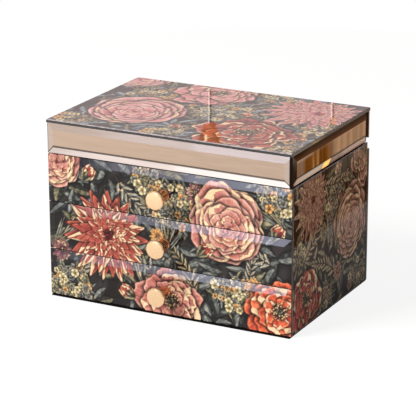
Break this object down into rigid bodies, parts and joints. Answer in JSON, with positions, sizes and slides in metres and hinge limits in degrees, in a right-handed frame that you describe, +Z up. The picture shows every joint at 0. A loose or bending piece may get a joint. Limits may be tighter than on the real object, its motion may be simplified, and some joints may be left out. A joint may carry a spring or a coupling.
{
  "type": "three-drawer jewellery box",
  "caption": "Rectangular jewellery box clad in bevelled floral glass, with stacked pull-out drawers and a hinged lid over a velvet tray with ring rolls.",
  "frame": {"origin": "centre of the box's footprint, without the knobs, on the surface that it stands on", "axes": "+X to the right along the drawer fronts, -Y out of the drawer fronts, +Z up"},
  "size_m": [0.24, 0.1869, 0.166],
  "materials": {
    "printed_glass": "polished bevelled glass with a dark floral print behind it",
    "bronze_mirror": "polished bronze-tinted mirror glass with bevelled edges",
    "clear_mirror": "polished silver mirror",
    "board": "fibreboard covered in matte black paper",
    "velvet": "short-pile black velvet",
    "felt": "black felt",
    "knob_metal": "polished rose-gold plating",
    "hinge_metal": "satin",
    "screw_steel": "zinc plated"
  },
  "bodies": {
    "case": {"base_felt": "felt", "lid_pads": "felt", "bottom_board": "board", "left_wall": "board", "right_wall": "board", "back_wall": "board", "lower_shelf": "board", "upper_shelf": "board", "tray_floor": "board", "tray_front_rail": "board", "left_glass": "printed_glass", "right_glass": "printed_glass", "back_glass": "printed_glass", "neck_frame": "velvet", "tray_dividers": "velvet", "tray_lining": "velvet", "ring_rolls": "velvet", "hinge_fixed_leaves": "hinge_metal", "hinge_pins": "hinge_metal", "hinge_screws_case": "screw_steel"},
    "lid": {"lid_board": "board", "lid_rail_front": "board", "lid_rail_back": "board", "lid_rail_left": "board", "lid_rail_right": "board", "lid_glass": "printed_glass", "lid_strip_front": "bronze_mirror", "lid_strip_back": "bronze_mirror", "lid_strip_left": "bronze_mirror", "lid_strip_right": "bronze_mirror", "lid_mirror": "clear_mirror", "hinge_moving_leaves": "hinge_metal", "hinge_screws_lid": "screw_steel"},
    "lower_drawer": {"lower_drawer_glass": "printed_glass", "lower_drawer_front_board": "board", "lower_drawer_left_side": "board", "lower_drawer_right_side": "board", "lower_drawer_back": "board", "lower_drawer_bottom": "board", "lower_drawer_lining": "velvet", "lower_knob": "knob_metal", "lower_knob_screw": "screw_steel"},
    "middle_drawer": {"middle_drawer_glass": "printed_glass", "middle_drawer_front_board": "board", "middle_drawer_left_side": "board", "middle_drawer_right_side": "board", "middle_drawer_back": "board", "middle_drawer_bottom": "board", "middle_drawer_lining": "velvet", "middle_knob": "knob_metal", "middle_knob_screw": "screw_steel"},
    "upper_drawer": {"upper_drawer_glass": "printed_glass", "upper_drawer_front_board": "board", "upper_drawer_left_side": "board", "upper_drawer_right_side": "board", "upper_drawer_back": "board", "upper_drawer_bottom": "board", "upper_drawer_lining": "velvet", "upper_knob": "knob_metal", "upper_knob_screw": "screw_steel"}
  },
  "joints": [
    {"name": "lid_hinge", "type": "hinge", "parent": "case", "child": "lid", "pos_m": [0, 0.0805, 0.1346], "axis": [-1, 0, 0], "range_deg": [0, 95]},
    {"name": "lower_drawer_slide", "type": "slide", "parent": "case", "child": "lower_drawer", "axis": [0, -1, 0], "range_m": [0, 0.11]},
    {"name": "middle_drawer_slide", "type": "slide", "parent": "case", "child": "middle_drawer", "axis": [0, -1, 0], "range_m": [0, 0.11]},
    {"name": "upper_drawer_slide", "type": "slide", "parent": "case", "child": "upper_drawer", "axis": [0, -1, 0], "range_m": [0, 0.11]}
  ]
}
